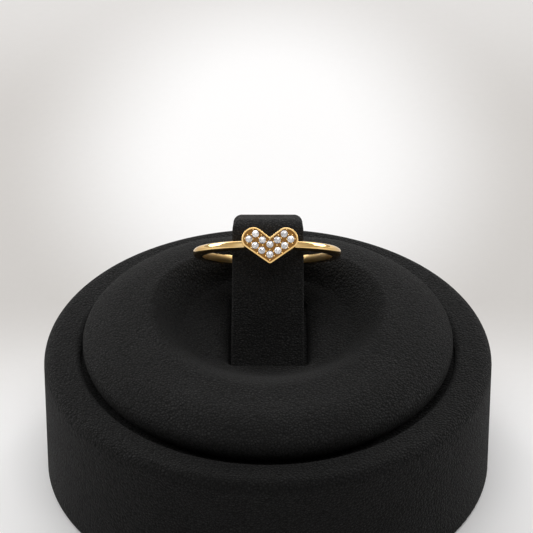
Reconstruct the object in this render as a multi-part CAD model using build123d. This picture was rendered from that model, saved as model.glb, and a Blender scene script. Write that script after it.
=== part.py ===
from build123d import *
import math
import os

os.makedirs("parts", exist_ok=True)

# Sizes in millimetres. The drum's round axis is Z, the floor is z = 0, and the heart looks along -Y and up.

# Display stand
DRUM_RADIUS = 30.0
DRUM_HEIGHT = 18.35
DRUM_SHOULDER = 1.6
DRUM_FOOT_ROUND = 0.4
RECESS_RADIUS = 25.05
RECESS_LIP = 0.9
RECESS_DEPTH = 1.4

PAD_GROOVE = 0.3
PAD_SEAT = 0.05
PAD_UNDER_ROLL = 2.85
PAD_EDGE_ROLL = 1.54
PAD_EDGE_SLOPE = 35.0
PAD_SHOULDER_ROLL = 9.0
PAD_CROWN_SLOPE = 4.0

DISH_Y = 3.4
DISH_FLOOR_RADIUS = 9.8
DISH_RADIUS = 18.0
DISH_DEPTH = 3.93
DISH_LIFT = 0.45
DISH_OVERRUN = 3.0

POST_LEAN = 30.0
POST_WIDTH = 9.7
POST_TOP_WIDTH = 9.42
POST_LENGTH = 19.1
POST_TOP_ROLL = 2.4
POST_CORNER = 1.3
POST_EDGE = 0.35
POST_FOOT_Y = -3.93
POST_SEAT = 0.05

SLOT_SIDE = 0.7
SLOT_SHIFT = 0.1
SLOT_ENDS = 0.25
SLOT_CORNER = 1.4

# Ring
RING_BORE = 17.3
BAND_WIDTH = 1.16
BAND_THICKNESS = 1.35
BAND_FLANK = 0.55
BAND_INNER_ROUND = 0.15
RING_TURN = 2.0
RING_SHIFT = -0.1
RING_LEAN = 40.9
RING_HEIGHT_ON_POST = 15.54
RING_PLAY = 0.08

# Heart plate
HEART_HALF_WIDTH = 3.745
HEART_LOBE_RADIUS = 1.62
HEART_CHEEK_RADIUS = 1.2
HEART_INNER_RADIUS = 1.3
HEART_POINT_ANGLE = 34.8
HEART_CLEFT_ANGLE = 38.0
HEART_CHEEK_Y = 0.655
HEART_TIP_ROUND = 0.35
HEART_DROP = 0.12
HEART_STAND = 0.55
HEART_THICKNESS = 1.45
HEART_RIM = 0.2
HEART_TRAY = 0.22
HEART_EDGE = 0.05

# Stones
STONE_WALL = 0.18
STONE_SIDES = 8
STONE_TABLE = 0.56
STONE_STAR = 0.76
STONE_STAR_HEIGHT = 0.55
STONE_CROWN = 0.16
STONE_GIRDLE = 0.04
STONE_PAVILION = 0.42
STONE_GAP = 0.03
STONE_SINK = 0.02
BEAD_RADIUS = 0.14
BEAD_SINK = 0.03

# Stone middles on the heart, as shares of its half width: across and up
STONE_TABLE_ROWS = (
    {"across": 0.000, "up": 0.010, "mirrored": False},
    {"across": 0.000, "up": -0.352, "mirrored": False},
    {"across": 0.262, "up": 0.166, "mirrored": True},
    {"across": 0.506, "up": 0.384, "mirrored": True},
    {"across": 0.738, "up": 0.196, "mirrored": True},
    {"across": 0.522, "up": -0.028, "mirrored": True},
    {"across": 0.284, "up": -0.206, "mirrored": True},
)

# Small beads of metal between the stones, as shares of the heart's half width
BEAD_ROWS = (
    {"across": 0.000, "up": 0.185, "mirrored": False},
    {"across": 0.000, "up": -0.180, "mirrored": False},
    {"across": 0.000, "up": -0.535, "mirrored": False},
    {"across": 0.135, "up": -0.240, "mirrored": True},
    {"across": 0.150, "up": -0.400, "mirrored": True},
    {"across": 0.250, "up": -0.020, "mirrored": True},
    {"across": 0.135, "up": 0.098, "mirrored": True},
    {"across": 0.110, "up": 0.285, "mirrored": True},
    {"across": 0.300, "up": 0.345, "mirrored": True},
    {"across": 0.385, "up": 0.065, "mirrored": True},
    {"across": 0.395, "up": 0.230, "mirrored": True},
    {"across": 0.405, "up": -0.130, "mirrored": True},
    {"across": 0.430, "up": -0.290, "mirrored": True},
    {"across": 0.400, "up": 0.510, "mirrored": True},
    {"across": 0.590, "up": 0.535, "mirrored": True},
    {"across": 0.655, "up": 0.350, "mirrored": True},
    {"across": 0.600, "up": 0.190, "mirrored": True},
    {"across": 0.645, "up": 0.055, "mirrored": True},
    {"across": 0.660, "up": -0.110, "mirrored": True},
    {"across": 0.800, "up": 0.050, "mirrored": True},
    {"across": 0.790, "up": 0.345, "mirrored": True},
    {"across": 0.885, "up": 0.210, "mirrored": True},
)

# Sizes that follow from those above
RECESS_FLOOR = DRUM_HEIGHT - RECESS_DEPTH
PAD_RADIUS = RECESS_RADIUS - PAD_GROOVE
PAD_BOTTOM = RECESS_FLOOR + PAD_SEAT
PAD_WIDEST = PAD_BOTTOM + PAD_UNDER_ROLL
EDGE_TILT = math.radians(PAD_EDGE_SLOPE)
CROWN_TILT = math.radians(PAD_CROWN_SLOPE)
PAD_EDGE_RADIUS = PAD_RADIUS - PAD_EDGE_ROLL * (1 - math.sin(EDGE_TILT))
PAD_EDGE_HEIGHT = PAD_WIDEST + PAD_EDGE_ROLL * math.cos(EDGE_TILT)
SHOULDER_MIDDLE = PAD_EDGE_RADIUS - PAD_SHOULDER_ROLL * math.sin(EDGE_TILT)
SHOULDER_HEIGHT = PAD_EDGE_HEIGHT - PAD_SHOULDER_ROLL * math.cos(EDGE_TILT)
PAD_CROWN_RADIUS = SHOULDER_MIDDLE + PAD_SHOULDER_ROLL * math.sin(CROWN_TILT)
PAD_CROWN_HEIGHT = SHOULDER_HEIGHT + PAD_SHOULDER_ROLL * math.cos(CROWN_TILT)
PAD_DOME_RADIUS = PAD_CROWN_RADIUS / math.sin(CROWN_TILT)
DISH_FLOOR = PAD_CROWN_HEIGHT - DISH_DEPTH
DISH_RISE = DISH_DEPTH + DISH_LIFT
DISH_RUN = DISH_RADIUS - DISH_FLOOR_RADIUS
DISH_ROLL = (DISH_RUN * DISH_RUN + DISH_RISE * DISH_RISE) / (4 * DISH_RISE)
RING_INNER = RING_BORE / 2
RING_OUTER = RING_INNER + BAND_THICKNESS
RING_TILT = math.radians(RING_LEAN - POST_LEAN)
POST_EDGE_LOSS = POST_EDGE * (1 - math.sqrt(0.5))
POST_TAPER = (POST_WIDTH - POST_TOP_WIDTH) / 2 / POST_LENGTH
POST_HALF_AT_RING = POST_WIDTH / 2 - POST_TAPER * RING_HEIGHT_ON_POST
POST_BURIED = 2 * (DISH_FLOOR - RECESS_FLOOR)
HEART_FACE = RING_OUTER + HEART_STAND

# The tilted bore rests on the post's front edges and, lower down, on its back edges
REACH_FREE = RING_INNER - RING_PLAY
REACH_HALF = POST_HALF_AT_RING + abs(RING_SHIFT) - POST_EDGE_LOSS
REACH_FLAT = math.sqrt(REACH_FREE * REACH_FREE - REACH_HALF * REACH_HALF)
RING_REACH = REACH_FLAT + POST_EDGE_LOSS - BAND_WIDTH / 2 * math.tan(RING_TILT)
POST_THICKNESS = 2 * RING_REACH * math.cos(RING_TILT)


def lean_plane(origin, lean):
    """Plane whose Z leans back by the angle, with X to the right and Y into the depth."""
    angle = math.radians(lean)
    return Plane(origin=origin, x_dir=(1, 0, 0), z_dir=(0, math.sin(angle), math.cos(angle)))


def side_point(radius, height):
    """Point of a half section that is turned about Z."""
    return (radius, 0, height)


def turned(wire_parts, axis=Axis.Z):
    """Solid made by turning a closed half section about the axis."""
    return revolve(make_face(Wire(wire_parts)), axis)


def quarter(centre_radius, centre_height, radius, start, end):
    """Arc of a half section, angles from straight out, in degrees."""
    middle = (start + end) / 2
    points = []
    for angle in (start, middle, end):
        turn = math.radians(angle)
        out = centre_radius + radius * math.cos(turn)
        points.append(side_point(out, centre_height + radius * math.sin(turn)))
    return ThreePointArc(*points)


def stand_base():
    """Drum with a rolled shoulder and a recess for the pad."""
    foot = quarter(DRUM_RADIUS - DRUM_FOOT_ROUND, DRUM_FOOT_ROUND, DRUM_FOOT_ROUND, -90, 0)
    shoulder = quarter(DRUM_RADIUS - DRUM_SHOULDER, DRUM_HEIGHT - DRUM_SHOULDER, DRUM_SHOULDER, 0, 90)
    lip = quarter(RECESS_RADIUS + RECESS_LIP, DRUM_HEIGHT - RECESS_LIP, RECESS_LIP, 90, 180)
    parts = [
        Line(side_point(0, 0), foot @ 0),
        foot,
        Line(foot @ 1, shoulder @ 0),
        shoulder,
        Line(shoulder @ 1, lip @ 0),
        lip,
        Line(lip @ 1, side_point(RECESS_RADIUS, RECESS_FLOOR)),
        Line(side_point(RECESS_RADIUS, RECESS_FLOOR), side_point(0, RECESS_FLOOR)),
        Line(side_point(0, RECESS_FLOOR), side_point(0, 0)),
    ]
    return turned(parts)


def dome_height(radius):
    """Height of the pad's domed top at a distance from the drum's axis."""
    drop = PAD_DOME_RADIUS - math.sqrt(PAD_DOME_RADIUS * PAD_DOME_RADIUS - radius * radius)
    return PAD_CROWN_HEIGHT + PAD_DOME_RADIUS * (1 - math.cos(CROWN_TILT)) - drop


def pad_blank():
    """Round pad with a rolled edge, a wide shoulder and a slightly domed top."""
    edge_end = 90 - PAD_EDGE_SLOPE
    under = quarter(PAD_RADIUS - PAD_UNDER_ROLL, PAD_WIDEST, PAD_UNDER_ROLL, -90, 0)
    over = quarter(PAD_RADIUS - PAD_EDGE_ROLL, PAD_WIDEST, PAD_EDGE_ROLL, 0, edge_end)
    shoulder = quarter(SHOULDER_MIDDLE, SHOULDER_HEIGHT, PAD_SHOULDER_ROLL, edge_end, 90 - PAD_CROWN_SLOPE)
    crown = side_point(0, dome_height(0))
    half = PAD_CROWN_RADIUS / 2
    dome = ThreePointArc(shoulder @ 1, side_point(half, dome_height(half)), crown)
    parts = [
        Line(side_point(0, PAD_BOTTOM), under @ 0),
        under,
        over,
        shoulder,
        dome,
        Line(crown, side_point(0, PAD_BOTTOM)),
    ]
    return turned(parts)


def dish_tool():
    """Solid above the dish, turned about its own middle: flat floor and a soft slope."""
    swing = math.degrees(math.asin(DISH_RUN / 2 / DISH_ROLL))
    low = quarter(DISH_FLOOR_RADIUS, DISH_FLOOR + DISH_ROLL, DISH_ROLL, -90, -90 + swing)
    bend = DISH_FLOOR + DISH_RISE - DISH_ROLL
    high = quarter(DISH_RADIUS, bend, DISH_ROLL, 90 + swing, 90 + DISH_OVERRUN)
    top = DISH_FLOOR + 2 * DISH_RISE
    parts = [
        Line(side_point(0, DISH_FLOOR), low @ 0),
        low,
        high,
        Line(high @ 1, side_point((high @ 1).X, top)),
        Line(side_point((high @ 1).X, top), side_point(0, top)),
        Line(side_point(0, top), side_point(0, DISH_FLOOR)),
    ]
    return Pos(0, DISH_Y, 0) * turned(parts)


def post_plane():
    """Post frame: origin at the front of the foot on the dish floor."""
    return lean_plane((0, POST_FOOT_Y, DISH_FLOOR), POST_LEAN)


def slot_tool():
    """Leaning hole through the pad, with room beside the post."""
    depth = POST_THICKNESS + 2 * SLOT_ENDS
    width = POST_WIDTH + 2 * SLOT_SIDE
    section = Pos(SLOT_SHIFT, POST_THICKNESS / 2) * RectangleRounded(width, depth, SLOT_CORNER)
    return extrude(post_plane() * section, amount=POST_LENGTH, both=True)


def stand_pad():
    """Pad with its dish and the slot of the post."""
    return pad_blank() - dish_tool() - slot_tool()


def post_half(height):
    """Half width of the post at a height up its axis, narrower towards the top."""
    return POST_WIDTH / 2 - POST_TAPER * height


def post_blank():
    """Tapered bar with rounded long edges, its front at zero depth."""
    sections = []
    for height in (-POST_BURIED, POST_LENGTH):
        outline = RectangleRounded(2 * post_half(height), POST_THICKNESS, POST_EDGE)
        sections.append(Pos(0, POST_THICKNESS / 2, height) * outline)
    return loft(sections, ruled=True)


def post_side():
    """Room seen from the side that keeps the post's top rolled."""
    side = Plane(origin=(0, 0, 0), x_dir=(0, 1, 0), z_dir=(1, 0, 0))
    tall = 2 * (POST_LENGTH + POST_BURIED)
    outline = Rectangle(POST_THICKNESS, tall)
    outline = fillet(outline.vertices().group_by(Axis.Y)[-1], POST_TOP_ROLL)
    place = Pos(POST_THICKNESS / 2, POST_LENGTH - tall / 2)
    return extrude(side * place * outline, amount=POST_WIDTH, both=True)


def post_shoulder(hand):
    """Piece outside the rounded corner of the post's top, right or left."""
    front = Plane(origin=(0, 0, 0), x_dir=(1, 0, 0), z_dir=(0, -1, 0))
    half = post_half(POST_LENGTH)
    square = Pos(half, POST_LENGTH) * Rectangle(2 * POST_CORNER, 2 * POST_CORNER)
    disc = Pos(half - POST_CORNER, POST_LENGTH - POST_CORNER) * Circle(POST_CORNER)
    tool = extrude(front * (square - disc), amount=2 * POST_THICKNESS, both=True)
    return tool if hand > 0 else mirror(tool, Plane.YZ)


def stand_post():
    """Leaning post, cut level where it stands in the recess."""
    block = post_blank() & post_side()
    block = block - post_shoulder(1) - post_shoulder(-1)
    block = post_plane().location * block
    size = 4 * DRUM_RADIUS
    floor = RECESS_FLOOR + POST_SEAT
    keep = Pos(0, 0, floor) * Box(size, size, size, align=(Align.CENTER, Align.CENTER, Align.MIN))
    return block & keep


def ring_place():
    """Place of the ring's own frame: bore along Z, heart towards -Y, turned a little about the bore."""
    lean = math.radians(RING_LEAN)
    post = math.radians(POST_LEAN)
    y = POST_FOOT_Y + RING_HEIGHT_ON_POST * math.sin(post) + RING_REACH * math.cos(lean)
    z = DISH_FLOOR + RING_HEIGHT_ON_POST * math.cos(post) - RING_REACH * math.sin(lean)
    return lean_plane((RING_SHIFT, y, z), RING_LEAN).location * Rot(0, 0, RING_TURN)


def heart_plane(depth):
    """Plane across the heart, seen from the front, at a distance from the bore's axis and a little low."""
    return Plane(origin=(0, -depth, -HEART_DROP), x_dir=(1, 0, 0), z_dir=(0, -1, 0))


def band():
    """Half-round band turned about the bore."""
    half = BAND_WIDTH / 2
    flank = RING_INNER + BAND_FLANK
    inner = RING_INNER + BAND_INNER_ROUND
    flat = half - BAND_INNER_ROUND
    parts = [
        Line(side_point(RING_INNER, -flat), side_point(RING_INNER, flat)),
        Line(side_point(RING_INNER, flat), side_point(inner, half)),
        Line(side_point(inner, half), side_point(flank, half)),
        ThreePointArc(side_point(flank, half), side_point(RING_OUTER, 0), side_point(flank, -half)),
        Line(side_point(flank, -half), side_point(inner, -half)),
        Line(side_point(inner, -half), side_point(RING_INNER, -flat)),
    ]
    return turned(parts)


def heart_face(inset):
    """Heart outline, the whole of it or drawn in by the inset."""
    point = math.radians(HEART_POINT_ANGLE)
    cleft = math.radians(HEART_CLEFT_ANGLE)
    cheek_x = HEART_HALF_WIDTH - HEART_CHEEK_RADIUS * (1 - math.sin(point))
    cheek_y = HEART_CHEEK_Y - HEART_CHEEK_RADIUS * math.cos(point)
    tip = (0, cheek_y - cheek_x * math.tan(point))
    side = Line(tip, (cheek_x, cheek_y))
    cheek = JernArc(side @ 1, side % 1, HEART_CHEEK_RADIUS, 90 - HEART_POINT_ANGLE)
    lobe = JernArc(cheek @ 1, cheek % 1, HEART_LOBE_RADIUS, 90)
    inner = JernArc(lobe @ 1, lobe % 1, HEART_INNER_RADIUS, HEART_CLEFT_ANGLE)
    fall = (inner @ 1).X * math.tan(cleft)
    flank = Line(inner @ 1, (0, (inner @ 1).Y - fall))
    right = Curve() + [side, cheek, lobe, inner, flank]
    face = make_face((right + mirror(right, Plane.YZ)).edges())
    face = fillet(face.vertices().sort_by(Axis.Y)[0], HEART_TIP_ROUND)
    if inset:
        face = offset(face, amount=-inset, kind=Kind.INTERSECTION)
    return face


def spots(rows):
    """Points of the rows and of their mirror images, in millimetres on the heart."""
    points = []
    for row in rows:
        x = row["across"] * HEART_HALF_WIDTH
        y = row["up"] * HEART_HALF_WIDTH
        points.append((x, y))
        if row["mirrored"]:
            points.append((-x, y))
    return points


def stone_radius():
    """Radius of the stones, which leaves a wall of metal between the two that lie closest."""
    points = spots(STONE_TABLE_ROWS)
    closest = min(math.dist(a, b) for a in points for b in points if a != b)
    return (closest - STONE_WALL) / 2


def stone_seat():
    """Room of one stone with its clearance: a round well with a cone below, open upwards."""
    radius = stone_radius() + STONE_GAP
    belt = STONE_GIRDLE + STONE_GAP
    depth = belt + STONE_PAVILION + STONE_GAP
    top = STONE_CROWN + HEART_TRAY + BEAD_RADIUS
    parts = [
        Line(side_point(0, -depth), side_point(radius, -belt)),
        Line(side_point(radius, -belt), side_point(radius, top)),
        Line(side_point(radius, top), side_point(0, top)),
        Line(side_point(0, top), side_point(0, -depth)),
    ]
    return turned(parts)


def corners(radius, height, count, offset):
    """Corner points of a level polygon, its first corner turned by part of a step."""
    points = []
    for index in range(count):
        angle = 2 * math.pi * (index + offset) / count
        points.append(Vector(radius * math.cos(angle), radius * math.sin(angle), height))
    return points


def facet(*points):
    """Flat face through the points."""
    return Face(Wire.make_polygon(points, close=True))


def stone():
    """Round brilliant cut, top of its girdle at zero: table, stars, kites and girdle facets."""
    radius = stone_radius()
    count = STONE_SIDES
    table = corners(radius * STONE_TABLE, STONE_CROWN, count, 0.0)
    star = corners(radius * STONE_STAR, STONE_CROWN * STONE_STAR_HEIGHT, count, 0.5)
    upper = corners(radius, 0, 2 * count, 0.0)
    lower = corners(radius, -STONE_GIRDLE, 2 * count, 0.0)
    culet = Vector(0, 0, -STONE_GIRDLE - STONE_PAVILION)
    faces = [facet(*table)]
    for i in range(count):
        ahead = (i + 1) % count
        main = upper[2 * i]
        between = upper[2 * i + 1]
        beyond = upper[(2 * i + 2) % (2 * count)]
        faces.append(facet(table[i], star[i], table[ahead]))
        faces.append(facet(table[i], main, star[i]))
        faces.append(facet(table[i], star[i - 1], main))
        faces.append(facet(star[i], main, between))
        faces.append(facet(star[i], between, beyond))
    for i in range(2 * count):
        ahead = (i + 1) % (2 * count)
        faces.append(facet(upper[i], lower[i], lower[ahead], upper[ahead]))
        faces.append(facet(lower[i], culet, lower[ahead]))
    return Solid(Shell(faces))


def on_heart(point, height):
    """Place on the heart in the ring's own frame, Z out of the heart, at a height above the tray floor."""
    plane = heart_plane(HEART_FACE - HEART_TRAY)
    return plane.location * Pos(point[0], point[1], height)


def heart():
    """Heart plate with a raised rim around a tray."""
    face = heart_plane(HEART_FACE)
    plate = extrude(face * heart_face(0), amount=-HEART_THICKNESS)
    plate = fillet(plate.faces().sort_by(Axis.Y)[0].edges(), HEART_EDGE)
    tray = extrude(face * heart_face(HEART_RIM), amount=-HEART_TRAY)
    return plate - tray


def gold_ring():
    """Band, heart and beads soldered into one piece, with the seats cut into it."""
    metal = band() + heart()
    beads = [on_heart(spot, -BEAD_SINK) * Sphere(BEAD_RADIUS) for spot in spots(BEAD_ROWS)]
    metal = metal + beads
    seats = [on_heart(spot, -STONE_SINK) * stone_seat() for spot in spots(STONE_TABLE_ROWS)]
    metal = metal - seats
    return ring_place() * metal


def stones():
    """The cut stones where they lie, each a little clear of its seat."""
    return [ring_place() * on_heart(spot, -STONE_SINK) * stone() for spot in spots(STONE_TABLE_ROWS)]


if __name__ == "__main__":
    export_step(stand_base(), "parts/stand_base.step")
    export_step(stand_pad(), "parts/stand_pad.step")
    export_step(stand_post(), "parts/stand_post.step")
    export_step(gold_ring(), "parts/gold_ring.step")
    for number, cut in enumerate(stones(), start=1):
        export_step(cut, f"parts/stone_{number:02d}.step")
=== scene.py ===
"""Looks of a heart ring on its round leather display stand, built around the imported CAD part."""

import logging
import math
from dataclasses import dataclass
from enum import Enum

import bmesh
import bpy
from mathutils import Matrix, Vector, noise

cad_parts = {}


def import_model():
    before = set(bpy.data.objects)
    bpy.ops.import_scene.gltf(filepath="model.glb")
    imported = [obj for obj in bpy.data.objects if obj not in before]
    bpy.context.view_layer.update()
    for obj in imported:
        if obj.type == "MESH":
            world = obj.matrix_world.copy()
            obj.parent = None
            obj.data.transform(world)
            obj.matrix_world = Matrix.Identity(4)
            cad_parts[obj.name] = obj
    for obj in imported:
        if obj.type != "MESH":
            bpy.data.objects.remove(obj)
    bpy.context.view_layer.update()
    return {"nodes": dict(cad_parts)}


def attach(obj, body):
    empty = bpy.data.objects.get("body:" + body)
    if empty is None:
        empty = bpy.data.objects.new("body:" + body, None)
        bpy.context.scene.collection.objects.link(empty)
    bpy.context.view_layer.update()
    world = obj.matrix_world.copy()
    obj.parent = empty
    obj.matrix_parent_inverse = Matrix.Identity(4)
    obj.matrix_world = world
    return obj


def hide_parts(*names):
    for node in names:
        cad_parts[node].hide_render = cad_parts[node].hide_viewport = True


LOG = logging.getLogger("heart_ring")
MM = 0.001
TINY = 1e-9
Colour = tuple[float, float, float, float]
Point = tuple[float, float, float]
Reach = tuple[float, float]
BLACK: Colour = (0.0, 0.0, 0.0, 1.0)
# Places of the first input, the second input and the result on a Mix node, by kind of data.
MIX_SOCKETS = {"FLOAT": (2, 3, 0), "RGBA": (6, 7, 2)}


class Slot(Enum):
    """Material slots of the record."""

    LEATHER = "black_leather"
    GOLD = "yellow_gold"
    STONE = "clear_stone"


class Body(Enum):
    """Bodies of the part: it has no joint, so there is one."""

    ROOT = "root"


class Graph:
    """Places and joins the nodes of one shader tree."""

    def __init__(self, tree: bpy.types.NodeTree) -> None:
        """Keeps the tree.

        Args:
            tree: The node tree that the nodes go into.
        """
        self.tree = tree

    def add(self, kind: str, **settings: object) -> bpy.types.Node:
        """Adds a node.

        Args:
            kind: Blender's name of the node type.
            settings: Properties of the node.

        Returns:
            The new node.
        """
        node = self.tree.nodes.new(kind)
        for name, value in settings.items():
            setattr(node, name, value)
        return node

    def join(self, source: bpy.types.NodeSocket, target: bpy.types.NodeSocket) -> None:
        """Links an output to an input."""
        self.tree.links.new(source, target)

    def feed(self, value: object, target: bpy.types.NodeSocket) -> None:
        """Links a socket to an input, or sets the input to a plain value.

        Args:
            value: Socket, number, vector or colour.
            target: Input that gets it.
        """
        if isinstance(value, bpy.types.NodeSocket):
            self.join(value, target)
        else:
            target.default_value = value

    def math(
        self, operation: str, first: object, second: object = 0.0, clamp: bool = False
    ) -> bpy.types.NodeSocket:
        """Adds a math node.

        Args:
            operation: Blender's name of the operation.
            first: Socket or number.
            second: Socket or number.
            clamp: Whether the result stays between 0 and 1.

        Returns:
            The result.
        """
        node = self.add("ShaderNodeMath", operation=operation, use_clamp=clamp)
        self.feed(first, node.inputs[0])
        self.feed(second, node.inputs[1])
        return node.outputs["Value"]

    def vector(self, operation: str, first: object, second: object) -> bpy.types.NodeSocket:
        """Adds a vector math node on two vectors.

        Args:
            operation: Blender's name of the operation.
            first: Socket or vector.
            second: Socket or vector.

        Returns:
            The resulting vector.
        """
        node = self.add("ShaderNodeVectorMath", operation=operation)
        self.feed(first, node.inputs[0])
        self.feed(second, node.inputs[1])
        return node.outputs["Vector"]

    def ramp(self, value: object, low: float, high: float) -> bpy.types.NodeSocket:
        """Maps a value from low to high onto 0 to 1, with eased ends.

        Args:
            value: Socket or number.
            low: Value that gives 0.
            high: Value that gives 1.

        Returns:
            The mapped value.
        """
        node = self.add("ShaderNodeMapRange", interpolation_type="SMOOTHSTEP")
        self.feed(value, node.inputs["Value"])
        node.inputs["From Min"].default_value = low
        node.inputs["From Max"].default_value = high
        return node.outputs["Result"]

    def mix(self, kind: str, factor: object, first: object, second: object) -> bpy.types.NodeSocket:
        """Mixes two values.

        Args:
            kind: Blender's name of the kind of data.
            factor: Socket or number, 0 for the first.
            first: Socket or value.
            second: Socket or value.

        Returns:
            The mixed value.
        """
        node = self.add("ShaderNodeMix", data_type=kind)
        first_input, second_input, result = MIX_SOCKETS[kind]
        self.feed(factor, node.inputs[0])
        self.feed(first, node.inputs[first_input])
        self.feed(second, node.inputs[second_input])
        return node.outputs[result]

    def blend(self, factor: object, first: object, second: object) -> bpy.types.NodeSocket:
        """Mixes two numbers."""
        return self.mix("FLOAT", factor, first, second)

    def tint(self, factor: object, first: object, second: object) -> bpy.types.NodeSocket:
        """Mixes two colours."""
        return self.mix("RGBA", factor, first, second)

    def noise(self, vector: object, scale: object, detail: float, kind: str = "FBM") -> bpy.types.Node:
        """Adds a noise texture.

        Args:
            vector: Socket with the coordinates.
            scale: Socket or number.
            detail: Number of finer layers.
            kind: Blender's name of the noise type.

        Returns:
            The noise node.
        """
        node = self.add("ShaderNodeTexNoise", noise_type=kind, normalize=kind == "FBM")
        self.join(vector, node.inputs["Vector"])
        self.feed(scale, node.inputs["Scale"])
        node.inputs["Detail"].default_value = detail
        return node


class EffectGroup:
    """A shared surface effect: a shader node group with named inputs and outputs, built once."""

    name = "effect"
    inputs: dict[str, float] = {}
    outputs: tuple[str, ...] = ()

    def tree(self) -> bpy.types.NodeTree:
        """Gives the group's tree, building it the first time.

        Returns:
            The node group.
        """
        found = bpy.data.node_groups.get(self.name)
        if found:
            return found
        group = bpy.data.node_groups.new(self.name, "ShaderNodeTree")
        for name, value in self.inputs.items():
            socket = group.interface.new_socket(name=name, in_out="INPUT", socket_type="NodeSocketFloat")
            socket.default_value = value
        for name in self.outputs:
            group.interface.new_socket(name=name, in_out="OUTPUT", socket_type="NodeSocketFloat")
        graph = Graph(group)
        self.wire(graph, graph.add("NodeGroupInput"), graph.add("NodeGroupOutput"))
        return group

    def wire(self, graph: Graph, given: bpy.types.Node, result: bpy.types.Node) -> None:
        """Builds what is inside the group.

        Args:
            graph: The group's graph.
            given: Node with the group's inputs.
            result: Node with the group's outputs.
        """
        raise NotImplementedError

    def place(self, graph: Graph, **values: float) -> bpy.types.Node:
        """Puts the group into a material.

        Args:
            graph: The material's graph.
            values: Values of the group's inputs, by name.

        Returns:
            The group's node.
        """
        node = graph.add("ShaderNodeGroup")
        node.node_tree = self.tree()
        for name, value in values.items():
            node.inputs[name].default_value = value
        return node


class PebbleGrain(EffectGroup):
    """Grain of pressed leather: small pebbles, creases between them and a finer roughness."""

    name = "pebble_grain"
    inputs = {"Cells": 2600.0, "Upwards": 1.0, "Crease": 0.5, "Fine": 0.3}
    outputs = ("Height", "Hollow")
    bend_share = 0.45
    bend_cells = 1.3
    noise_middle: Point = (0.5, 0.5, 0.5)
    softness = 0.7
    dome_reach: Reach = (0.75, 0.05)
    valley_reach: Reach = (0.0, 0.22)
    fold_share = 0.3
    fold_reach: Reach = (1.1, 2.0)
    fine_share = 3.1
    dome_height = 0.55
    valley_height = 0.45
    fold_hollow = 0.8

    def wire(self, graph: Graph, given: bpy.types.Node, result: bpy.types.Node) -> None:
        """Builds the pebbles from two cell patterns bent by noise.

        Args:
            graph: The group's graph.
            given: Node with the group's inputs.
            result: Node with the group's outputs.
        """
        cells, upwards = given.outputs["Cells"], given.outputs["Upwards"]
        stretch = graph.add("ShaderNodeCombineXYZ")
        stretch.inputs["X"].default_value = 1.0
        stretch.inputs["Y"].default_value = 1.0
        graph.join(upwards, stretch.inputs["Z"])
        place = graph.add("ShaderNodeTexCoord").outputs["Object"]
        place = graph.vector("MULTIPLY", place, stretch.outputs["Vector"])
        bend = graph.noise(place, graph.math("MULTIPLY", cells, self.bend_share), detail=2.0)
        push = graph.vector("SUBTRACT", bend.outputs["Color"], self.noise_middle)
        amount = graph.add("ShaderNodeVectorMath", operation="SCALE")
        graph.join(push, amount.inputs[0])
        graph.join(graph.math("DIVIDE", self.bend_cells, cells), amount.inputs["Scale"])
        bent = graph.vector("ADD", place, amount.outputs["Vector"])

        pebbles = graph.add("ShaderNodeTexVoronoi", feature="SMOOTH_F1")
        pebbles.inputs["Smoothness"].default_value = self.softness
        edges = graph.add("ShaderNodeTexVoronoi", feature="DISTANCE_TO_EDGE")
        for pattern in (pebbles, edges):
            graph.join(bent, pattern.inputs["Vector"])
            graph.join(cells, pattern.inputs["Scale"])
        dome = graph.ramp(pebbles.outputs["Distance"], *self.dome_reach)
        valley = graph.ramp(edges.outputs["Distance"], *self.valley_reach)
        fold_cells = graph.math("MULTIPLY", cells, self.fold_share)
        folds = graph.noise(bent, fold_cells, detail=3.0, kind="RIDGED_MULTIFRACTAL")
        fold = graph.ramp(folds.outputs["Fac"], *self.fold_reach)
        fine = graph.noise(bent, graph.math("MULTIPLY", cells, self.fine_share), detail=2.0)

        raised = graph.math("MULTIPLY", dome, self.dome_height)
        height = graph.math("ADD", raised, graph.math("MULTIPLY", valley, self.valley_height))
        height = graph.math("SUBTRACT", height, graph.math("MULTIPLY", fold, given.outputs["Crease"]))
        height = graph.math("ADD", height, graph.math("MULTIPLY", fine.outputs["Fac"], given.outputs["Fine"]))
        graph.join(height, result.inputs["Height"])
        low = graph.math("SUBTRACT", 1.0, valley)
        hollow = graph.math("MAXIMUM", low, graph.math("MULTIPLY", fold, self.fold_hollow))
        graph.join(hollow, result.inputs["Hollow"])


class SoftMottle(EffectGroup):
    """Broad uneven patches, as handling and pressing leave on a surface."""

    name = "soft_mottle"
    inputs = {"Patches": 120.0, "Streaks": 700.0}
    outputs = ("Broad", "Small")
    broad_reach: Reach = (0.3, 0.7)
    small_reach: Reach = (0.25, 0.75)

    def wire(self, graph: Graph, given: bpy.types.Node, result: bpy.types.Node) -> None:
        """Builds one broad and one small noise.

        Args:
            graph: The group's graph.
            given: Node with the group's inputs.
            result: Node with the group's outputs.
        """
        place = graph.add("ShaderNodeTexCoord").outputs["Object"]
        broad = graph.noise(place, given.outputs["Patches"], detail=2.0)
        small = graph.noise(place, given.outputs["Streaks"], detail=3.0)
        graph.join(graph.ramp(broad.outputs["Fac"], *self.broad_reach), result.inputs["Broad"])
        graph.join(graph.ramp(small.outputs["Fac"], *self.small_reach), result.inputs["Small"])


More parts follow.
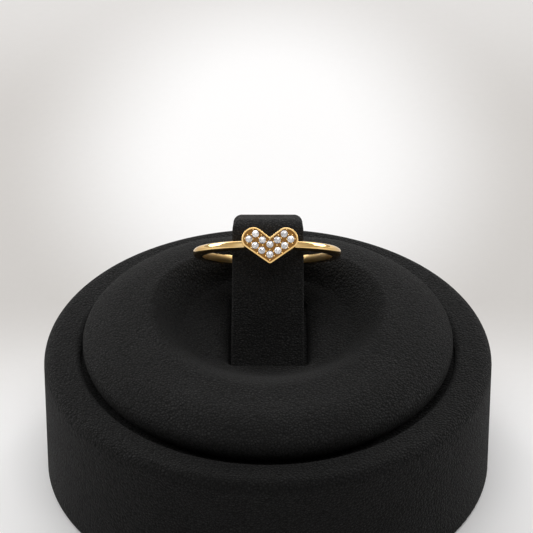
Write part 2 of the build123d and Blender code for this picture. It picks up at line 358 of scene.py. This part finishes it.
class HairScratches(EffectGroup):
    """Hairline scratches of polished metal in two crossing directions."""

    name = "hair_scratches"
    inputs = {"Lines": 2500.0, "Length": 0.06}
    outputs = ("Height", "Worn")
    turns: Reach = (0.5, -0.9)
    tilt_share = 0.4
    streak_reach: Reach = (0.56, 0.72)

    def wire(self, graph: Graph, given: bpy.types.Node, result: bpy.types.Node) -> None:
        """Builds long thin streaks from stretched noise.

        Args:
            graph: The group's graph.
            given: Node with the group's inputs.
            result: Node with the group's outputs.
        """
        place = graph.add("ShaderNodeTexCoord").outputs["Object"]
        streaks = []
        for turn in self.turns:
            spin = graph.add("ShaderNodeVectorRotate", rotation_type="EULER_XYZ")
            spin.inputs["Rotation"].default_value = (turn, self.tilt_share * turn, turn)
            graph.join(place, spin.inputs["Vector"])
            pull = graph.add("ShaderNodeCombineXYZ")
            graph.join(given.outputs["Length"], pull.inputs["X"])
            pull.inputs["Y"].default_value = 1.0
            pull.inputs["Z"].default_value = 1.0
            pulled = graph.vector("MULTIPLY", spin.outputs["Vector"], pull.outputs["Vector"])
            lines = graph.noise(pulled, given.outputs["Lines"], detail=2.0)
            streaks.append(graph.ramp(lines.outputs["Fac"], *self.streak_reach))
        both = graph.math("MAXIMUM", *streaks)
        graph.join(both, result.inputs["Worn"])
        graph.join(graph.math("SUBTRACT", 1.0, both), result.inputs["Height"])


def surface(name: str) -> tuple[bpy.types.Material, Graph, bpy.types.Node]:
    """Starts a material with one Principled shader.

    Args:
        name: Name of the material.

    Returns:
        The material, its graph and the shader node.
    """
    material = bpy.data.materials.new(name)
    material.use_nodes = True
    material.node_tree.nodes.clear()
    graph = Graph(material.node_tree)
    shader = graph.add("ShaderNodeBsdfPrincipled")
    output = graph.add("ShaderNodeOutputMaterial")
    graph.join(shader.outputs["BSDF"], output.inputs["Surface"])
    return material, graph, shader


@dataclass(frozen=True)
class BlackLeather:
    """Matt black pressed leather."""

    name: str
    cells: float = 2700.0
    upwards: float = 1.0
    crease: float = 0.55
    fine: float = 0.45
    depth: float = 0.2
    low_gloss: float = 0.66
    high_gloss: float = 0.58
    specular: float = 0.02
    sheen: float = 0.03
    sheen_spread: float = 0.4
    shade: float = 0.03
    green_share: float = 0.99
    blue_share: float = 0.98
    patches: float = 130.0
    streaks: float = 900.0
    dark_patch: float = 0.92
    pale_patch: float = 1.08
    hollow_tone: float = 0.5
    hollow_dull: float = 0.15

    def tone(self, share: float) -> Colour:
        """Colour of the leather, darker or lighter by a share."""
        value = self.shade * share
        return (value, value * self.green_share, value * self.blue_share, 1.0)

    def make(self) -> bpy.types.Material:
        """Builds the material.

        Returns:
            The leather.
        """
        material, graph, shader = surface(self.name)
        grain = PebbleGrain().place(
            graph, Cells=self.cells, Upwards=self.upwards, Crease=self.crease, Fine=self.fine
        )
        mottle = SoftMottle().place(graph, Patches=self.patches, Streaks=self.streaks)
        body = graph.tint(mottle.outputs["Broad"], self.tone(self.dark_patch), self.tone(self.pale_patch))
        colour = graph.tint(grain.outputs["Hollow"], body, self.tone(self.hollow_tone))
        graph.join(colour, shader.inputs["Base Color"])
        gloss = graph.blend(mottle.outputs["Small"], self.low_gloss, self.high_gloss)
        dulled = graph.math("MULTIPLY", grain.outputs["Hollow"], self.hollow_dull)
        gloss = graph.math("ADD", gloss, dulled, clamp=True)
        graph.join(gloss, shader.inputs["Roughness"])
        bump = graph.add("ShaderNodeBump")
        bump.inputs["Strength"].default_value = 1.0
        bump.inputs["Distance"].default_value = self.depth * MM
        graph.join(grain.outputs["Height"], bump.inputs["Height"])
        graph.join(bump.outputs["Normal"], shader.inputs["Normal"])
        shader.inputs["Specular IOR Level"].default_value = self.specular
        shader.inputs["Sheen Weight"].default_value = self.sheen
        shader.inputs["Sheen Roughness"].default_value = self.sheen_spread
        return material


@dataclass(frozen=True)
class PolishedGold:
    """Polished yellow gold: band rounded inside; the gold between the stones of the heart painted very dark
    as painted shade, and duller. Sizes in millimetres.
    """

    name: str = "polished_yellow_gold"
    bright: Colour = (0.95, 0.68, 0.32, 1.0)
    deep: Colour = (0.88, 0.57, 0.22, 1.0)
    # Painted shade: the very dark tone of the gold between the stones, where shade falls among them.
    cut: Colour = (0.19, 0.09, 0.022, 1.0)
    gloss: float = 0.08
    worn_gloss: float = 0.2
    cut_gloss: float = 0.38
    inner_gloss: float = 0.45
    scratch: float = 0.0012
    middle: Point = (-0.1, 9.233, 27.573)
    lean: float = 40.9
    turn: float = 2.0
    bore_radius: float = 8.65
    band_half: float = 0.58
    inner_round: float = 0.16
    tray_floor: float = 10.33
    tray_top: float = 10.42
    ease_far: float = 0.06
    ease_near: float = 0.02
    patches: float = 350.0
    streaks: float = 1800.0
    scratch_lines: float = 5200.0
    scratch_length: float = 0.05

    def away(self, graph: Graph, place: bpy.types.NodeSocket, direction: Point) -> bpy.types.NodeSocket:
        """Distance from the middle of the bore in a direction, in millimetres.

        Args:
            graph: The material's graph.
            place: Socket with the coordinates seen from the middle of the bore.
            direction: Unit vector.

        Returns:
            The distance.
        """
        dot = graph.add("ShaderNodeVectorMath", operation="DOT_PRODUCT")
        graph.join(place, dot.inputs[0])
        dot.inputs[1].default_value = direction
        return graph.math("MULTIPLY", dot.outputs["Value"], 1 / MM)

    def make(self) -> bpy.types.Material:
        """Builds the material.

        Returns:
            The gold.
        """
        material, graph, shader = surface(self.name)
        lean, turn = math.radians(self.lean), math.radians(self.turn)
        ahead_way = (math.sin(turn), -math.cos(turn) * math.cos(lean), math.cos(turn) * math.sin(lean))
        spot = graph.add("ShaderNodeTexCoord").outputs["Object"]
        place = graph.vector("SUBTRACT", spot, tuple(value * MM for value in self.middle))
        along = self.away(graph, place, (0.0, math.sin(lean), math.cos(lean)))
        ahead = self.away(graph, place, ahead_way)
        whole = graph.add("ShaderNodeVectorMath", operation="LENGTH")
        graph.join(place, whole.inputs[0])
        far = graph.math("MULTIPLY", whole.outputs["Value"], 1 / MM)
        squares = [graph.math("MULTIPLY", value, value) for value in (far, along)]
        around = graph.math("SQRT", graph.math("SUBTRACT", *squares))
        inside = graph.ramp(around, self.bore_radius + self.ease_far, self.bore_radius + self.ease_near)
        # Mask of the gold between the stones, by depth across the heart's face; it carries painted shade.
        above = graph.ramp(ahead, self.tray_floor - self.ease_far, self.tray_floor - self.ease_near)
        below = graph.ramp(ahead, self.tray_top, self.tray_floor + self.ease_near)
        painted_shade_between_stones = graph.math("MULTIPLY", above, below)

        mottle = SoftMottle().place(graph, Patches=self.patches, Streaks=self.streaks)
        hairs = HairScratches().place(graph, Lines=self.scratch_lines, Length=self.scratch_length)
        body = graph.tint(mottle.outputs["Broad"], self.deep, self.bright)
        # Painted shade: the gold between the stones takes the very dark cut tone.
        graph.join(graph.tint(painted_shade_between_stones, body, self.cut), shader.inputs["Base Color"])
        wear = graph.math("MULTIPLY", hairs.outputs["Worn"], mottle.outputs["Small"])
        gloss = graph.blend(wear, self.gloss, self.worn_gloss)
        gloss = graph.blend(inside, gloss, self.inner_gloss)
        graph.join(graph.blend(painted_shade_between_stones, gloss, self.cut_gloss), shader.inputs["Roughness"])
        share = graph.math("DIVIDE", along, self.band_half)
        crown = graph.math("MULTIPLY", graph.math("MULTIPLY", share, share), -self.inner_round)
        lines = graph.math("MULTIPLY", hairs.outputs["Height"], self.scratch)
        bump = graph.add("ShaderNodeBump")
        bump.inputs["Strength"].default_value = 1.0
        bump.inputs["Distance"].default_value = MM
        graph.join(graph.math("ADD", graph.math("MULTIPLY", crown, inside), lines), bump.inputs["Height"])
        graph.join(bump.outputs["Normal"], shader.inputs["Normal"])
        shader.inputs["Metallic"].default_value = 1.0
        return material


@dataclass(frozen=True)
class CutStone:
    """Clear brilliant-cut stone, some of its facets painted darker as painted dark reflections."""

    name: str = "clear_cut_stone"
    clear: Colour = (1.0, 1.0, 1.0, 1.0)
    # Painted reflection: grey tone of the facets painted darker.
    shaded: Colour = (0.42, 0.42, 0.44, 1.0)
    bending: float = 2.2
    facet_turns: float = 2.6
    facet_steps: float = 420.0
    facet_reach: Reach = (0.44, 0.6)
    patches: float = 900.0
    streaks: float = 2600.0
    worn: float = 0.03

    def make(self) -> bpy.types.Material:
        """Builds the material.

        Returns:
            The stone.
        """
        material, graph, shader = surface(self.name)
        mottle = SoftMottle().place(graph, Patches=self.patches, Streaks=self.streaks)
        facing = graph.add("ShaderNodeNewGeometry").outputs["True Normal"]
        facing = graph.vector("MULTIPLY", facing, (self.facet_turns,) * 3)
        place = graph.add("ShaderNodeTexCoord").outputs["Object"]
        place = graph.vector("MULTIPLY", place, (self.facet_steps,) * 3)
        facet = graph.noise(graph.vector("ADD", facing, place), 1.0, detail=0.0)
        # Painted dark reflections on facets picked by their direction and place.
        painted_dark_facets = graph.ramp(facet.outputs["Fac"], *self.facet_reach)
        graph.join(graph.tint(painted_dark_facets, self.clear, self.shaded), shader.inputs["Base Color"])
        graph.join(graph.math("MULTIPLY", mottle.outputs["Small"], self.worn), shader.inputs["Roughness"])
        shader.inputs["IOR"].default_value = self.bending
        shader.inputs["Transmission Weight"].default_value = 1.0
        return material


@dataclass(frozen=True)
class PaleSweep:
    """Pale matt floor with painted light and shade: a painted pool of light in an oval behind the stand,
    painted light over the front and the far back, dimmer elsewhere, glowing as painted emission.

    Sizes in millimetres.
    """

    name: str = "pale_floor"
    light: Colour = (0.93, 0.92, 0.915, 1.0)
    dim: Colour = (0.66, 0.635, 0.61, 1.0)
    glow_y: float = 76.0
    glow_near: float = 18.0
    glow_far: float = 60.0
    glow_squeeze: float = 1.4
    glow_lift: float = 0.85
    painted_far_light_from: float = 85.0
    painted_far_light_to: float = 125.0
    painted_far_light_share: float = 0.35
    painted_front_light_from: float = 40.0
    painted_front_light_to: float = 2.0
    own_light: float = 0.10
    weave_cells: float = 900.0
    weave: float = 0.04
    gloss: float = 0.9
    specular: float = 0.1

    def make(self) -> bpy.types.Material:
        """Builds the material.

        Returns:
            The floor's finish.
        """
        material, graph, shader = surface(self.name)
        place = graph.add("ShaderNodeTexCoord").outputs["Object"]
        from_glow = graph.vector("SUBTRACT", place, (0.0, self.glow_y * MM, 0.0))
        from_glow = graph.vector("MULTIPLY", from_glow, (self.glow_squeeze, 1.0, 1.0))
        length = graph.add("ShaderNodeVectorMath", operation="LENGTH")
        graph.join(from_glow, length.inputs[0])
        # Painted pool of light: an oval on the floor behind the stand, lightest in its middle.
        glow = graph.ramp(length.outputs["Value"], self.glow_far * MM, self.glow_near * MM)
        parts = graph.add("ShaderNodeSeparateXYZ")
        graph.join(place, parts.inputs["Vector"])
        # Painted light over the floor in front of the stand, fading out towards the back.
        front = graph.ramp(parts.outputs["Y"], self.painted_front_light_from * MM, self.painted_front_light_to * MM)
        cloth = graph.noise(place, self.weave_cells, detail=4.0)
        shade = graph.blend(cloth.outputs["Fac"], -self.weave, self.weave)
        # Painted light lifting the floor far behind the stand, added to the cloth's weave.
        far = graph.ramp(parts.outputs["Y"], self.painted_far_light_from * MM, self.painted_far_light_to * MM)
        shade = graph.math("ADD", shade, graph.math("MULTIPLY", far, self.painted_far_light_share))
        # The floor's tone runs from dim to light with the painted light.
        pale = graph.math("ADD", graph.math("MAXIMUM", glow, front), shade, clamp=True)
        graph.join(graph.tint(pale, self.dim, self.light), shader.inputs["Base Color"])
        # The painted light also glows as emission, though the floor is no lamp.
        painted_glow_share = graph.math("MAXIMUM", front, graph.math("MULTIPLY", glow, self.glow_lift))
        graph.join(graph.tint(painted_glow_share, BLACK, self.light), shader.inputs["Emission Color"])
        shader.inputs["Emission Strength"].default_value = self.own_light
        shader.inputs["Roughness"].default_value = self.gloss
        shader.inputs["Specular IOR Level"].default_value = self.specular
        return material


def eased(share: float) -> float:
    """Share between 0 and 1 with both ends eased."""
    return share * share * (3 - 2 * share)


def round_turns(count: int) -> list[float]:
    """Angles of evenly spaced points once round."""
    return [2 * math.pi * i / count for i in range(count)]


def mesh_piece(name: str, rows: list[list[Vector]], closed: bool) -> bpy.types.Object:
    """Makes a piece from rings of points that each go once round.

    Args:
        name: Name of the piece.
        rows: Rings of points with equal counts, in millimetres.
        closed: Whether the last ring joins the first.

    Returns:
        The new object, smooth shaded.
    """
    made = bmesh.new()
    rings = [[made.verts.new(point * MM) for point in row] for row in rows]
    count = len(rings[0])
    pairs = list(zip(rings, rings[1:]))
    if closed:
        pairs.append((rings[-1], rings[0]))
    for lower, upper in pairs:
        for i in range(count):
            ahead = (i + 1) % count
            made.faces.new((lower[i], lower[ahead], upper[ahead], upper[i]))
    bmesh.ops.recalc_face_normals(made, faces=made.faces)
    mesh = bpy.data.meshes.new(name)
    made.to_mesh(mesh)
    made.free()
    mesh.polygons.foreach_set("use_smooth", [True] * len(mesh.polygons))
    piece = bpy.data.objects.new(name, mesh)
    bpy.context.scene.collection.objects.link(piece)
    return piece


@dataclass
class PaddedDisc:
    """Padded disc in the drum, its leather drawn down into a dish round the post. Sizes in millimetres."""

    radius: float = 24.75
    bottom: float = 17.0
    under_roll: float = 2.85
    edge_roll: float = 1.54
    edge_slope: float = 35.0
    shoulder_roll: float = 9.0
    crown_slope: float = 4.0
    dish_y: float = 4.4
    dish_floor: float = 18.787
    floor_front: float = 9.5
    floor_side: float = 11.0
    floor_back: float = 12.0
    rim_front: float = 19.8
    rim_side: float = 16.2
    rim_back: float = 13.8
    back_dip: float = 0.62
    back_dip_half: float = 9.6
    back_dip_from: float = 9.0
    post_lean: float = 30.0
    post_foot_y: float = -3.93
    slot_shift: float = 0.12
    slot_half: float = 5.2
    slot_front: float = -0.15
    slot_back: float = 14.26
    slot_corner: float = 1.8
    turned_side: float = 2.3
    turned_end: float = 0.55
    turned_depth: float = 1.6
    sag: float = 0.05
    sag_broad: float = 0.11
    sag_small: float = 0.27
    sag_layers: Reach = (3.7, 9.1)
    pull: float = 0.035
    pull_turns: float = 3.4
    pull_change: float = 0.05
    pull_middle: float = 11.0
    pull_half: float = 5.5
    around: int = 320
    across: int = 84
    turned_steps: int = 10
    settle_rounds: int = 3
    edge_steps: int = 14
    under_shares: Reach = (0.5, 1.0)
    wall_shares: Reach = (0.35, 0.7)

    def __post_init__(self) -> None:
        """Works out the heights that follow from the sizes."""
        edge, crown = math.radians(self.edge_slope), math.radians(self.crown_slope)
        self.widest = self.bottom + self.under_roll
        self.edge_radius = self.radius - self.edge_roll * (1 - math.sin(edge))
        self.edge_height = self.widest + self.edge_roll * math.cos(edge)
        self.shoulder_middle = self.edge_radius - self.shoulder_roll * math.sin(edge)
        self.shoulder_height = self.edge_height - self.shoulder_roll * math.cos(edge)
        self.crown_radius = self.shoulder_middle + self.shoulder_roll * math.sin(crown)
        self.crown_height = self.shoulder_height + self.shoulder_roll * math.cos(crown)
        self.dome_radius = self.crown_radius / math.sin(crown)

    def dome(self, x: float, y: float) -> float:
        """Height of the domed top over a point.

        Args:
            x: Across.
            y: Into the depth.

        Returns:
            The height.
        """
        reach = min(math.hypot(x, y), self.edge_radius)
        if reach > self.crown_radius:
            step = reach - self.shoulder_middle
            return self.shoulder_height + math.sqrt(self.shoulder_roll ** 2 - step ** 2)
        drop = self.dome_radius - math.sqrt(self.dome_radius ** 2 - reach ** 2)
        return self.crown_height + self.dome_radius * (1 - math.cos(math.radians(self.crown_slope))) - drop

    def share_up(self, x: float, y: float) -> float:
        """How far up the dish's soft wall a point lies: 0 on its floor, 1 on the domed top.

        Args:
            x: Across.
            y: Into the depth.

        Returns:
            The share, eased at both ends.
        """
        out = math.hypot(x, y - self.dish_y)
        along = (y - self.dish_y) / max(out, TINY)
        ahead = along * along
        floor_end, rim_end = self.floor_front, self.rim_front
        if along > 0:
            floor_end, rim_end = self.floor_back, self.rim_back
        floor = self.floor_side + (floor_end - self.floor_side) * ahead
        rim = self.rim_side + (rim_end - self.rim_side) * ahead
        return eased(max(0.0, min(1.0, (out - floor) / (rim - floor))))

    def dip(self, x: float, y: float) -> float:
        """How far the dish pulls down the back of the disc at a point.

        Args:
            x: Across.
            y: Into the depth.

        Returns:
            The drop.
        """
        beside = max(0.0, 1 - (x / self.back_dip_half) ** 2)
        behind = max(0.0, min(1.0, (y - self.back_dip_from) / (self.edge_radius - self.back_dip_from)))
        return self.back_dip * beside * eased(behind)

    def top(self, x: float, y: float) -> float:
        """Height of the leather's top over a point.

        Args:
            x: Across.
            y: Into the depth.

        Returns:
            The height, never above the plain dome.
        """
        dome = self.dome(x, y) - self.dip(x, y)
        height = self.dish_floor + (dome - self.dish_floor) * self.share_up(x, y)
        first, second = self.sag_layers
        soft = noise.noise(Vector((x * self.sag_broad, y * self.sag_broad, first)))
        soft += noise.noise(Vector((x * self.sag_small, y * self.sag_small, second))) / 2
        height -= self.sag * (0.5 + 0.5 * max(-1.0, min(1.0, soft)))
        out = math.hypot(x, y - self.dish_y)
        bearing = math.atan2(y - self.dish_y, x)
        across, along = self.pull_turns * math.cos(bearing), self.pull_turns * math.sin(bearing)
        wave = noise.noise(Vector((across, along, self.pull_change * out)))
        near_slot = max(0.0, 1 - abs(out - self.pull_middle) / self.pull_half)
        return height - self.pull * near_slot * near_slot * (0.5 + wave)

    def slot_point(self, bearing: float) -> tuple[float, float]:
        """Point of the slot's outline in a direction from its middle, in the post's own square plane.

        Args:
            bearing: Direction in radians.

        Returns:
            Distance across and distance behind the post's front.
        """
        half_deep = (self.slot_back - self.slot_front) / 2
        stretch = 1 / math.cos(math.radians(self.post_lean))
        dx, dy = math.cos(bearing), math.sin(bearing) / stretch
        reach = min(self.slot_half / max(abs(dx), TINY), half_deep / max(abs(dy), TINY))
        x, y = dx * reach, dy * reach
        inner_x, inner_y = self.slot_half - self.slot_corner, half_deep - self.slot_corner
        if abs(x) > inner_x and abs(y) > inner_y:
            corner = (math.copysign(inner_x, x), math.copysign(inner_y, y))
            along = dx * corner[0] + dy * corner[1]
            size = dx * dx + dy * dy
            rest = corner[0] ** 2 + corner[1] ** 2 - self.slot_corner ** 2
            reach = (along + math.sqrt(max(along * along - size * rest, 0.0))) / size
            x, y = dx * reach, dy * reach
        return self.slot_shift + x, self.slot_front + half_deep + y

    def slot_at(self, bearing: float, height: float) -> Vector:
        """Point of the slot's wall at a height.

        Args:
            bearing: Direction from the slot's middle in radians.
            height: Height above the floor.

        Returns:
            The point.
        """
        lean = math.radians(self.post_lean)
        x, behind = self.slot_point(bearing)
        y = self.post_foot_y + behind / math.cos(lean) + (height - self.dish_floor) * math.tan(lean)
        return Vector((x, y, height))

    def slot_row(self, height: float) -> list[Vector]:
        """Ring of points round the slot's wall at a height."""
        return [self.slot_at(turn, height) for turn in round_turns(self.around)]

    def turned_in(self) -> list[list[Vector]]:
        """Rings of the leather's edge where it turns down into the slot.

        Returns:
            Rings from the wall out to the top.
        """
        wall = self.slot_row(self.dish_floor)
        for _ in range(self.settle_rounds):
            heights = [self.top(point.x, point.y) for point in wall]
            wall = [self.slot_at(turn, height) for turn, height in zip(round_turns(self.around), heights)]
        rings = []
        for step in range(self.turned_steps + 1):
            angle = math.pi / 2 * step / self.turned_steps
            ring = []
            for i, point in enumerate(wall):
                ahead, behind = wall[(i + 1) % self.around], wall[i - 1]
                along = Vector((ahead.x - behind.x, ahead.y - behind.y, 0)).normalized()
                out = Vector((along.y, -along.x, 0))
                edge = self.turned_end + (self.turned_side - self.turned_end) * out.x * out.x
                moved = point + out * edge * (1 - math.cos(angle))
                deep = min(edge, self.turned_depth)
                height = self.top(moved.x, moved.y) - deep * (1 - math.sin(angle))
                ring.append(Vector((moved.x, moved.y, height)))
            rings.append(ring)
        return rings

    def round_row(self, radius: float, height: float) -> list[Vector]:
        """Ring of points round the drum's axis."""
        turns = round_turns(self.around)
        return [Vector((radius * math.cos(turn), radius * math.sin(turn), height)) for turn in turns]

    def rows(self) -> list[list[Vector]]:
        """All rings of the disc, from the slot over the top, round the rolled edge and back underneath.

        Returns:
            The rings.
        """
        rings = self.turned_in()
        start, end = rings[-1], self.round_row(self.edge_radius, self.edge_height)
        for step in range(1, self.across + 1):
            share = step / self.across
            ring = []
            for inner, outer in zip(start, end):
                x = inner.x + (outer.x - inner.x) * share
                y = inner.y + (outer.y - inner.y) * share
                ring.append(Vector((x, y, self.top(x, y))))
            rings.append(ring)
        lowered = [point.z - self.edge_height for point in rings[-1]]
        arc = self.edge_steps
        for step in range(1, arc + 1):
            fade = 1 - step / arc
            angle = math.radians((90 - self.edge_slope) * fade)
            out = self.radius - self.edge_roll + self.edge_roll * math.cos(angle)
            height = self.widest + self.edge_roll * math.sin(angle)
            ring = self.round_row(out, height)
            rings.append([Vector((p.x, p.y, p.z + drop * fade)) for p, drop in zip(ring, lowered)])
        for step in range(1, arc + 1):
            angle = math.radians(-90 * step / arc)
            out = self.radius - self.under_roll + self.under_roll * math.cos(angle)
            rings.append(self.round_row(out, self.widest + self.under_roll * math.sin(angle)))
        base = self.slot_row(self.bottom)
        outer = rings[-1]
        for share in self.under_shares:
            rings.append([p + (q - p) * share for p, q in zip(outer, base)])
        for share in self.wall_shares:
            rings.append([p + (q - p) * share for p, q in zip(base, rings[0])])
        return rings

    def build(self) -> bpy.types.Object:
        """Builds the disc's mesh.

        Returns:
            The piece.
        """
        return mesh_piece("padded_disc", self.rows(), closed=True)

    def dress(self, piece: bpy.types.Object, finish: bpy.types.Material) -> None:
        """Gives the disc its leather and its place in the part.

        Args:
            piece: The disc.
            finish: Its leather.
        """
        piece.data.materials.append(finish)
        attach(piece, Body.ROOT.value)
        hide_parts("stand_pad")


@dataclass
class CadPieces:
    """Pieces whose CAD shape is kept and gets its finish here."""

    nodes: dict[str, bpy.types.Object]

    def dress(self, name: str, slot: Slot, finish: bpy.types.Material) -> None:
        """Puts a finish on a CAD node.

        Args:
            name: Name of the node.
            slot: The node's slot in the record.
            finish: Its material.
        """
        node = self.nodes[name]
        for spot in node.material_slots:
            spot.material = finish
        LOG.info("%s, slot %s: %s", name, slot.value, finish.name)

    def stones(self) -> list[str]:
        """Names of the stones."""
        return sorted(name for name in self.nodes if name.startswith("stone_"))


@dataclass
class SoftPanel:
    """Rectangular studio light. Lengths in millimetres, angles in degrees."""

    name: str
    azimuth: float
    elevation: float
    wide: float
    high: float
    power: float
    distance: float = 900.0

    def build(self, aim: Vector) -> None:
        """Builds the light.

        Args:
            aim: Point it faces, in metres.
        """
        light = bpy.data.lights.new(self.name, "AREA")
        light.shape = "RECTANGLE"
        light.size = self.wide * MM
        light.size_y = self.high * MM
        light.energy = self.power
        turn, rise = math.radians(self.azimuth), math.radians(self.elevation)
        level = math.cos(rise)
        out = Vector((math.sin(turn) * level, math.cos(turn) * level, math.sin(rise)))
        lamp = bpy.data.objects.new(self.name, light)
        lamp.location = aim + out * self.distance * MM
        lamp.rotation_mode = "QUATERNION"
        lamp.rotation_quaternion = out.to_track_quat("Z", "Y")
        bpy.context.scene.collection.objects.link(lamp)


@dataclass
class Studio:
    """Floor, lights, pale room and camera. Lengths in millimetres, angles in degrees."""

    floor_rings: tuple[float, ...] = (0.5, 40.0, 90.0, 200.0, 600.0, 4000.0)
    floor_around: int = 96
    camera_y: float = -406.86
    camera_z: float = 308.99
    camera_pitch: float = 34.278
    camera_yaw: float = 0.026
    lens: float = 252.03
    sensor: float = 36.0
    nearest: float = 20.0
    farthest: float = 20000.0
    aim_z: float = 18.0
    room: Point = (0.93, 0.91, 0.89)
    mirrored_front: float = 1.0
    mirrored_rest: float = 0.5
    mirrored_rise: float = 40.0
    mirrored_spread: float = 50.0
    mirrored_ease: float = 0.3
    panels: tuple[SoftPanel, ...] = (
        SoftPanel("back_low", azimuth=0.0, elevation=24.0, wide=1100.0, high=240.0, power=1.88),
        SoftPanel("back_high", azimuth=0.0, elevation=70.0, wide=700.0, high=300.0, power=2.28),
        SoftPanel("back_left", azimuth=-52.0, elevation=18.0, wide=700.0, high=300.0, power=4.88),
        SoftPanel("back_right", azimuth=52.0, elevation=18.0, wide=700.0, high=300.0, power=3.80),
        SoftPanel("overhead", azimuth=0.0, elevation=88.0, wide=600.0, high=300.0, power=0.84),
        SoftPanel("front_high", azimuth=180.0, elevation=70.0, wide=700.0, high=300.0, power=1.92),
    )

    def floor(self) -> None:
        """Builds the floor as a fan of rings."""
        turns = round_turns(self.floor_around)
        rings = [
            [Vector((radius * math.cos(turn), radius * math.sin(turn), 0.0)) for turn in turns]
            for radius in self.floor_rings
        ]
        piece = mesh_piece("floor", rings, closed=False)
        piece.data.materials.append(PaleSweep().make())

    def room_shade(self) -> None:
        """Sets a room that looks pale and is mirrored as a white tent, but lights nothing by itself."""
        world = bpy.data.worlds.new("pale_room")
        bpy.context.scene.world = world
        world.use_nodes = True
        world.node_tree.nodes.clear()
        graph = Graph(world.node_tree)
        seen, tent = graph.add("ShaderNodeBackground"), graph.add("ShaderNodeBackground")
        for background in (seen, tent):
            background.inputs["Color"].default_value = (*self.room, 1.0)
        rise = math.radians(self.mirrored_rise)
        toward = graph.add("ShaderNodeVectorMath", operation="DOT_PRODUCT")
        graph.join(graph.add("ShaderNodeTexCoord").outputs["Generated"], toward.inputs[0])
        toward.inputs[1].default_value = (0.0, -math.cos(rise), math.sin(rise))
        edge = math.cos(math.radians(self.mirrored_spread))
        front = graph.ramp(toward.outputs["Value"], edge - self.mirrored_ease, edge + self.mirrored_ease)
        bright = graph.blend(front, self.mirrored_rest, self.mirrored_front)
        path = graph.add("ShaderNodeLightPath")
        sharp = graph.math("MAXIMUM", path.outputs["Is Glossy Ray"], path.outputs["Is Transmission Ray"])
        graph.join(graph.math("MULTIPLY", sharp, bright), tent.inputs["Strength"])
        mixed = graph.add("ShaderNodeMixShader")
        graph.join(path.outputs["Is Camera Ray"], mixed.inputs[0])
        graph.join(tent.outputs["Background"], mixed.inputs[1])
        graph.join(seen.outputs["Background"], mixed.inputs[2])
        output = graph.add("ShaderNodeOutputWorld")
        graph.join(mixed.outputs["Shader"], output.inputs["Surface"])

    def camera(self) -> None:
        """Places the camera at the photograph's angle."""
        data = bpy.data.cameras.new("camera")
        data.lens = self.lens
        data.sensor_width = self.sensor
        data.clip_start = self.nearest * MM
        data.clip_end = self.farthest * MM
        camera = bpy.data.objects.new("camera", data)
        camera.location = (0.0, self.camera_y * MM, self.camera_z * MM)
        pitch, yaw = math.radians(90 - self.camera_pitch), math.radians(self.camera_yaw)
        camera.rotation_euler = (pitch, 0.0, yaw)
        bpy.context.scene.collection.objects.link(camera)
        bpy.context.scene.camera = camera

    def build(self) -> None:
        """Builds the whole studio."""
        bpy.context.scene.view_settings.view_transform = "Standard"
        self.camera()
        self.floor()
        self.room_shade()
        for panel in self.panels:
            panel.build(Vector((0.0, 0.0, self.aim_z * MM)))
        LOG.info("studio with %d panels", len(self.panels))


def main() -> None:
    """Builds the looks piece by piece."""
    logging.basicConfig(level=logging.INFO, format="%(name)s: %(message)s")
    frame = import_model()
    Studio().build()

    disc = PaddedDisc()
    piece = disc.build()
    # Painted light and shade: the stand wears one black leather, yet the disc, the drum and the post each get
    # their own tone, lighter and darker copies standing in for how light falls on each piece.
    disc.dress(piece, BlackLeather("leather_of_the_disc", shade=0.029).make())
    LOG.info("%s: %d faces", piece.name, len(piece.data.polygons))

    # Painted light and shade: the post's leather tone is twice the drum's, a lit copy of the same leather.
    drum = BlackLeather("leather_of_the_drum", shade=0.0225, specular=0.03, sheen=0.04)
    post = BlackLeather("leather_of_the_post", upwards=1.5, shade=0.045, specular=0.01, sheen=0.01)
    kept = CadPieces(frame["nodes"])
    kept.dress("stand_base", Slot.LEATHER, drum.make())
    kept.dress("stand_post", Slot.LEATHER, post.make())
    kept.dress("gold_ring", Slot.GOLD, PolishedGold().make())
    stone = CutStone().make()
    for name in kept.stones():
        kept.dress(name, Slot.STONE, stone)


if __name__ == "__main__":
    main()
